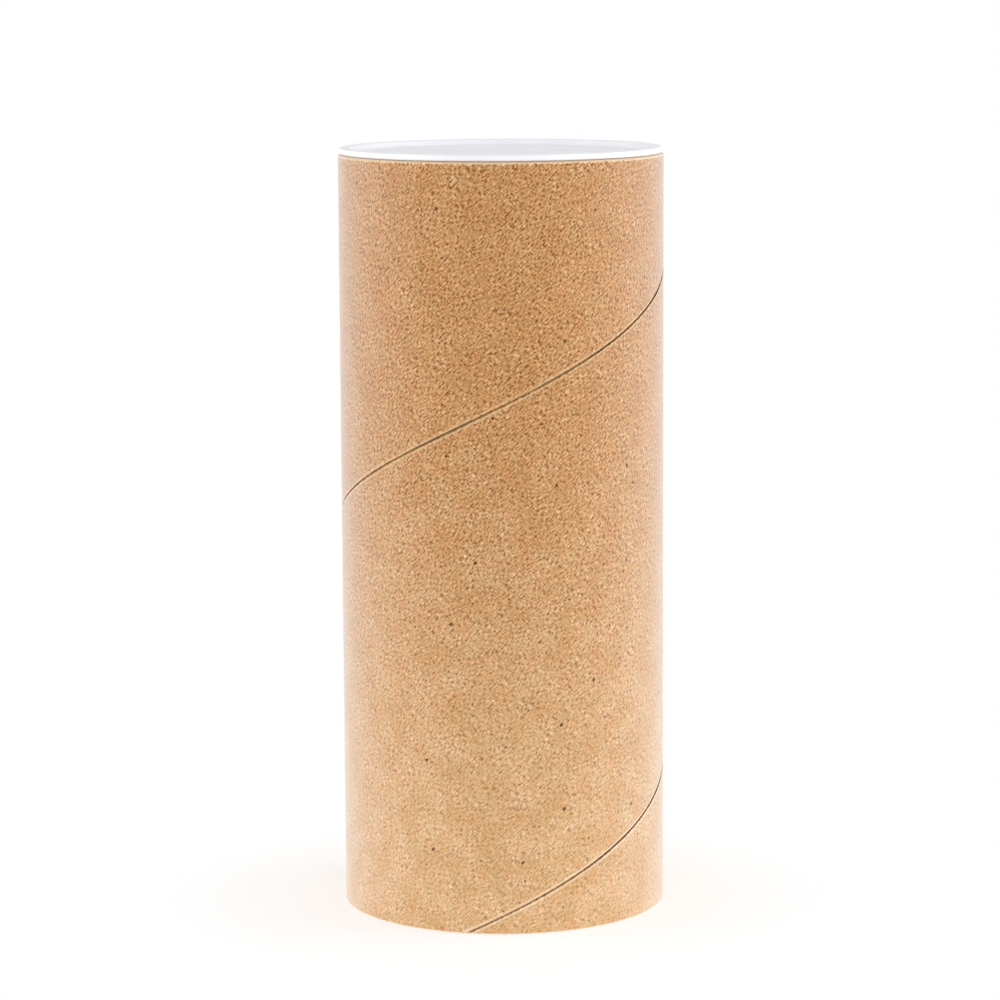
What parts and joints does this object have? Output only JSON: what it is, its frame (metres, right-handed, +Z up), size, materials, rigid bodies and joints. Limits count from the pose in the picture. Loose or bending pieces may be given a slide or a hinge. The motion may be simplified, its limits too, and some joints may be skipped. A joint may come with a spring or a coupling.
{
  "type": "kraft paper tube box",
  "caption": "Spiral-wound kraft paper tube box with an open helical seam, a push-in white plastic end cap with a sunk panel, and a board disc glued inside the foot.",
  "frame": {"origin": "centre of the tube's foot, on the surface that it stands on", "axes": "+Z up the tube towards the end cap, -Y towards the front, where the seam runs out at the foot"},
  "size_m": [0.075, 0.075, 0.1766],
  "materials": {
    "kraft_paper": "uncoated brown kraft with visible fibres",
    "cap_plastic": "moulded white plastic, satin",
    "base_board": "uncoated grey-brown board"
  },
  "bodies": {
    "tube_body": {"tube": "kraft_paper", "base_disc": "base_board"},
    "cap": {"end_cap": "cap_plastic"}
  },
  "joints": [
    {"name": "cap_pull", "type": "slide", "parent": "tube_body", "child": "cap", "axis": [0, 0, 1], "range_m": [0, 0.06]}
  ]
}
